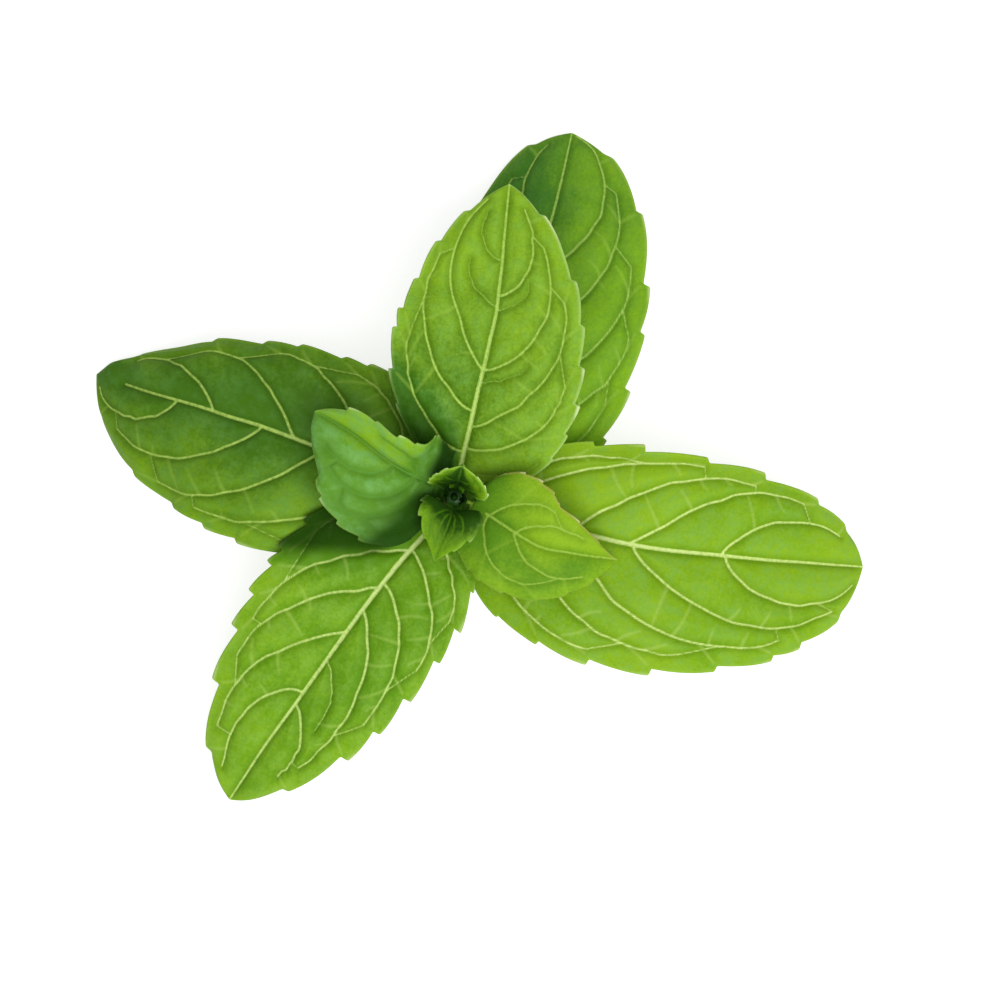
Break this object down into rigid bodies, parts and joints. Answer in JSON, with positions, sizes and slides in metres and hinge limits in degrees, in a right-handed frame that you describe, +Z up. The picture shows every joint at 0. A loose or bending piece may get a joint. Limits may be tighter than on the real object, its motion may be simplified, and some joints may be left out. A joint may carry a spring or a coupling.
{
  "type": "mint sprig tip",
  "caption": "Cut tip of a mint shoot: crossed pairs of toothed, veined leaves on a short square stem, smaller towards a tight bud.",
  "frame": {"origin": "middle of the shoot's footprint, on the surface it rests on", "axes": "+Z up, along the stem from its cut end to the bud; +X along the longest spread, towards the largest leaf; +Y towards the raised leaf"},
  "size_m": [0.0781, 0.0679, 0.0182],
  "materials": {
    "leaf_fresh_green": "satin",
    "leaf_deep_green": "satin",
    "leaf_blue_green": "satin",
    "leaf_young": "satin",
    "stem": "satin",
    "bud": "satin"
  },
  "bodies": {
    "root": {"stem": "stem", "leaf_1_back": "leaf_deep_green", "leaf_2_left": "leaf_deep_green", "leaf_2_right": "leaf_fresh_green", "leaf_3_front": "leaf_fresh_green", "leaf_3_back": "leaf_fresh_green", "leaf_4_left": "leaf_blue_green", "leaf_4_right": "leaf_fresh_green", "leaf_5_front": "leaf_young", "leaf_5_back": "leaf_young", "leaf_6_left": "leaf_young", "leaf_6_right": "leaf_young", "tip_bud": "bud", "bud_of_leaf_1_back": "bud", "bud_of_leaf_2_left": "bud", "bud_of_leaf_2_right": "bud", "bud_of_leaf_3_front": "bud", "bud_of_leaf_3_back": "bud"}
  },
  "joints": []
}
